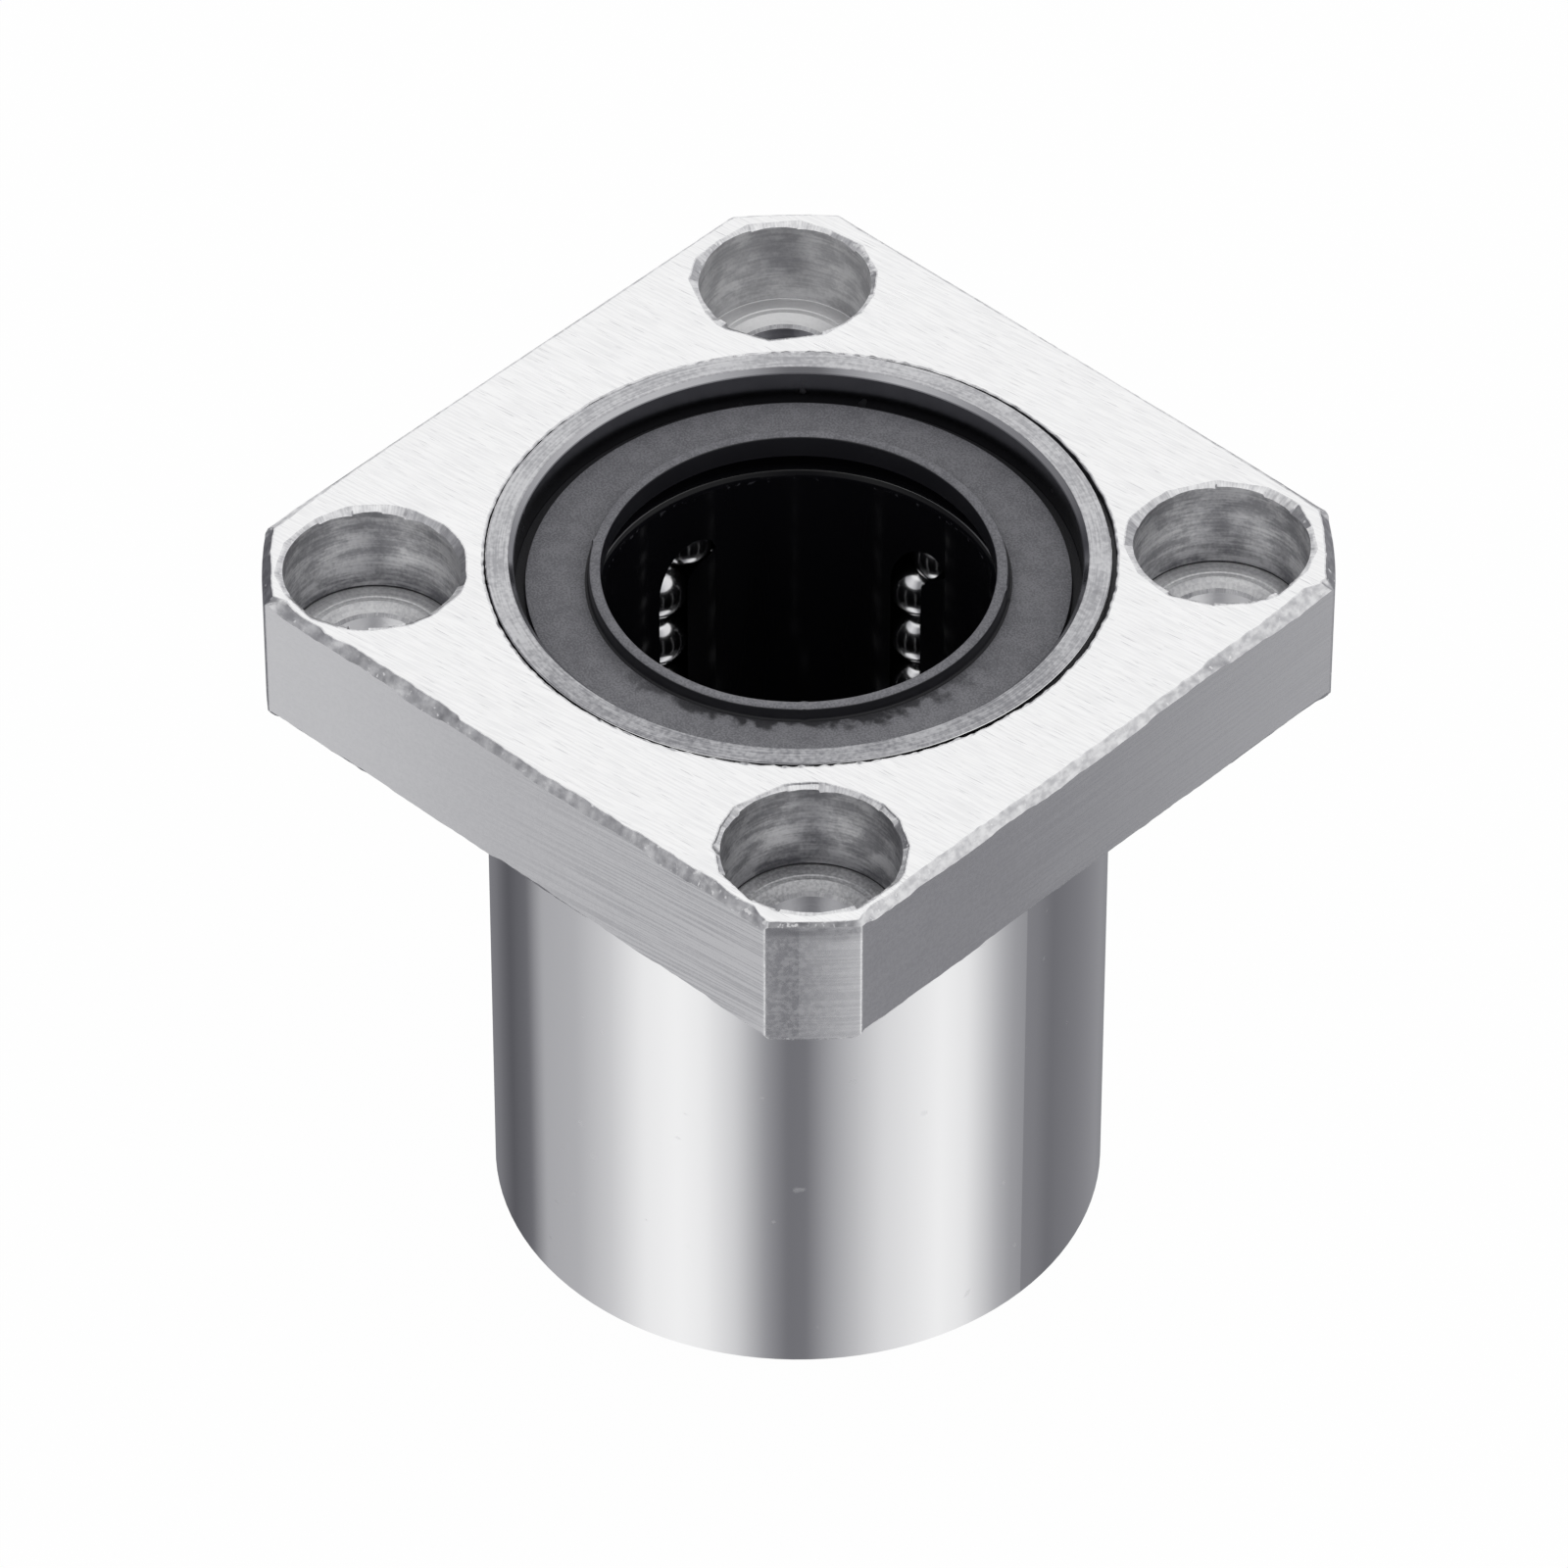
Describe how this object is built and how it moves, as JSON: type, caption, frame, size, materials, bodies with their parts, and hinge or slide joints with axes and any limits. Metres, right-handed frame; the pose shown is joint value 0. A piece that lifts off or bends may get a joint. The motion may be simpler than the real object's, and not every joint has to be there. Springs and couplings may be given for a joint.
{
  "type": "square flange linear bearing",
  "caption": "Linear ball bearing in a round steel sleeve with a counterbored square flange at one end, rubber seals and recirculating balls.",
  "frame": {"origin": "middle of the sleeve's free end face, on which the bearing stands, on the axis of the shaft bore", "axes": "+Z along the shaft bore, from the sleeve's free end towards the flange; the flange's sides run along X and Y"},
  "size_m": [0.042, 0.042, 0.042],
  "materials": {
    "flange_steel": "ground face with fine straight lines, hand-deburred edges",
    "ground_steel": "hardened, ground and polished",
    "ball_steel": "polished",
    "ring_steel": "plain spring steel",
    "black_resin": "moulded black polymer, slightly glossy",
    "seal_rubber": "moulded dark grey rubber, matte and finely grained"
  },
  "bodies": {
    "housing": {"flange_plate": "flange_steel", "outer_sleeve": "ground_steel", "ball_cage": "black_resin", "upper_seal": "seal_rubber", "lower_seal": "seal_rubber", "upper_end_ring": "ring_steel", "lower_end_ring": "ring_steel"},
    "circuit_1_loaded_balls": {"circuit_1_loaded_balls": "ball_steel"},
    "circuit_1_return_balls": {"circuit_1_return_balls": "ball_steel"},
    "circuit_1_upper_turn_balls": {"circuit_1_upper_turn_balls": "ball_steel"},
    "circuit_1_lower_turn_balls": {"circuit_1_lower_turn_balls": "ball_steel"},
    "circuit_2_loaded_balls": {"circuit_2_loaded_balls": "ball_steel"},
    "circuit_2_return_balls": {"circuit_2_return_balls": "ball_steel"},
    "circuit_2_upper_turn_balls": {"circuit_2_upper_turn_balls": "ball_steel"},
    "circuit_2_lower_turn_balls": {"circuit_2_lower_turn_balls": "ball_steel"},
    "circuit_3_loaded_balls": {"circuit_3_loaded_balls": "ball_steel"},
    "circuit_3_return_balls": {"circuit_3_return_balls": "ball_steel"},
    "circuit_3_upper_turn_balls": {"circuit_3_upper_turn_balls": "ball_steel"},
    "circuit_3_lower_turn_balls": {"circuit_3_lower_turn_balls": "ball_steel"},
    "circuit_4_loaded_balls": {"circuit_4_loaded_balls": "ball_steel"},
    "circuit_4_return_balls": {"circuit_4_return_balls": "ball_steel"},
    "circuit_4_upper_turn_balls": {"circuit_4_upper_turn_balls": "ball_steel"},
    "circuit_4_lower_turn_balls": {"circuit_4_lower_turn_balls": "ball_steel"},
    "circuit_5_loaded_balls": {"circuit_5_loaded_balls": "ball_steel"},
    "circuit_5_return_balls": {"circuit_5_return_balls": "ball_steel"},
    "circuit_5_upper_turn_balls": {"circuit_5_upper_turn_balls": "ball_steel"},
    "circuit_5_lower_turn_balls": {"circuit_5_lower_turn_balls": "ball_steel"}
  },
  "joints": [
    {"name": "circuit_1_loaded_row", "type": "slide", "parent": "housing", "child": "circuit_1_loaded_balls", "axis": [0, 0, 1], "range_m": [-0.0011, 0.0021]},
    {"name": "circuit_1_return_row", "type": "slide", "parent": "housing", "child": "circuit_1_return_balls", "axis": [0, 0, 1], "range_m": [-0.0021, 0.0011]},
    {"name": "circuit_1_upper_turn", "type": "hinge", "parent": "housing", "child": "circuit_1_upper_turn_balls", "pos_m": [0.01125, 0.00358, 0.0322], "axis": [0.8771, 0.4802, 0], "range_deg": [-30.94, 59.06]},
    {"name": "circuit_1_lower_turn", "type": "hinge", "parent": "housing", "child": "circuit_1_lower_turn_balls", "pos_m": [0.01125, 0.00358, 0.0098], "axis": [0.8771, 0.4802, 0], "range_deg": [-30.94, 59.06]},
    {"name": "circuit_2_loaded_row", "type": "slide", "parent": "housing", "child": "circuit_2_loaded_balls", "axis": [0, 0, 1], "range_m": [-0.00235, 0.00085]},
    {"name": "circuit_2_return_row", "type": "slide", "parent": "housing", "child": "circuit_2_return_balls", "axis": [0, 0, 1], "range_m": [-0.00085, 0.00235]},
    {"name": "circuit_2_upper_turn", "type": "hinge", "parent": "housing", "child": "circuit_2_upper_turn_balls", "pos_m": [0.00007, 0.01181, 0.0322], "axis": [-0.1857, 0.9826, 0], "range_deg": [-66.09, 23.91]},
    {"name": "circuit_2_lower_turn", "type": "hinge", "parent": "housing", "child": "circuit_2_lower_turn_balls", "pos_m": [0.00007, 0.01181, 0.0098], "axis": [-0.1857, 0.9826, 0], "range_deg": [-66.09, 23.91]},
    {"name": "circuit_3_loaded_row", "type": "slide", "parent": "housing", "child": "circuit_3_loaded_balls", "axis": [0, 0, 1], "range_m": [-0.0028, 0.0004]},
    {"name": "circuit_3_return_row", "type": "slide", "parent": "housing", "child": "circuit_3_return_balls", "axis": [0, 0, 1], "range_m": [-0.0004, 0.0028]},
    {"name": "circuit_3_upper_turn", "type": "hinge", "parent": "housing", "child": "circuit_3_upper_turn_balls", "pos_m": [-0.01121, 0.00372, 0.0322], "axis": [-0.9919, 0.1271, 0], "range_deg": [-78.75, 11.25]},
    {"name": "circuit_3_lower_turn", "type": "hinge", "parent": "housing", "child": "circuit_3_lower_turn_balls", "pos_m": [-0.01121, 0.00372, 0.0098], "axis": [-0.9919, 0.1271, 0], "range_deg": [-78.75, 11.25]},
    {"name": "circuit_4_loaded_row", "type": "slide", "parent": "housing", "child": "circuit_4_loaded_balls", "axis": [0, 0, 1], "range_m": [-0.0016, 0.0016]},
    {"name": "circuit_4_return_row", "type": "slide", "parent": "housing", "child": "circuit_4_return_balls", "axis": [0, 0, 1], "range_m": [-0.0016, 0.0016]},
    {"name": "circuit_4_upper_turn", "type": "hinge", "parent": "housing", "child": "circuit_4_upper_turn_balls", "pos_m": [-0.007, -0.00951, 0.0322], "axis": [-0.4274, -0.9041, 0], "range_deg": [-45, 45]},
    {"name": "circuit_4_lower_turn", "type": "hinge", "parent": "housing", "child": "circuit_4_lower_turn_balls", "pos_m": [-0.007, -0.00951, 0.0098], "axis": [-0.4274, -0.9041, 0], "range_deg": [-45, 45]},
    {"name": "circuit_5_loaded_row", "type": "slide", "parent": "housing", "child": "circuit_5_loaded_balls", "axis": [0, 0, 1], "range_m": [-0.0005, 0.0027]},
    {"name": "circuit_5_return_row", "type": "slide", "parent": "housing", "child": "circuit_5_return_balls", "axis": [0, 0, 1], "range_m": [-0.0027, 0.0005]},
    {"name": "circuit_5_upper_turn", "type": "hinge", "parent": "housing", "child": "circuit_5_upper_turn_balls", "pos_m": [0.00688, -0.00959, 0.0322], "axis": [0.7278, -0.6858, 0], "range_deg": [-14.06, 75.94]},
    {"name": "circuit_5_lower_turn", "type": "hinge", "parent": "housing", "child": "circuit_5_lower_turn_balls", "pos_m": [0.00688, -0.00959, 0.0098], "axis": [0.7278, -0.6858, 0], "range_deg": [-14.06, 75.94]}
  ],
  "couplings": [
    {"joint": "circuit_1_return_row", "follows": "circuit_1_loaded_row", "ratio": -1},
    {"joint": "circuit_1_upper_turn", "follows": "circuit_1_loaded_row", "rad_per_m": 490.87},
    {"joint": "circuit_1_lower_turn", "follows": "circuit_1_loaded_row", "rad_per_m": 490.87},
    {"joint": "circuit_2_return_row", "follows": "circuit_2_loaded_row", "ratio": -1},
    {"joint": "circuit_2_upper_turn", "follows": "circuit_2_loaded_row", "rad_per_m": 490.87},
    {"joint": "circuit_2_lower_turn", "follows": "circuit_2_loaded_row", "rad_per_m": 490.87},
    {"joint": "circuit_3_return_row", "follows": "circuit_3_loaded_row", "ratio": -1},
    {"joint": "circuit_3_upper_turn", "follows": "circuit_3_loaded_row", "rad_per_m": 490.87},
    {"joint": "circuit_3_lower_turn", "follows": "circuit_3_loaded_row", "rad_per_m": 490.87},
    {"joint": "circuit_4_return_row", "follows": "circuit_4_loaded_row", "ratio": -1},
    {"joint": "circuit_4_upper_turn", "follows": "circuit_4_loaded_row", "rad_per_m": 490.87},
    {"joint": "circuit_4_lower_turn", "follows": "circuit_4_loaded_row", "rad_per_m": 490.87},
    {"joint": "circuit_5_return_row", "follows": "circuit_5_loaded_row", "ratio": -1},
    {"joint": "circuit_5_upper_turn", "follows": "circuit_5_loaded_row", "rad_per_m": 490.87},
    {"joint": "circuit_5_lower_turn", "follows": "circuit_5_loaded_row", "rad_per_m": 490.87}
  ]
}
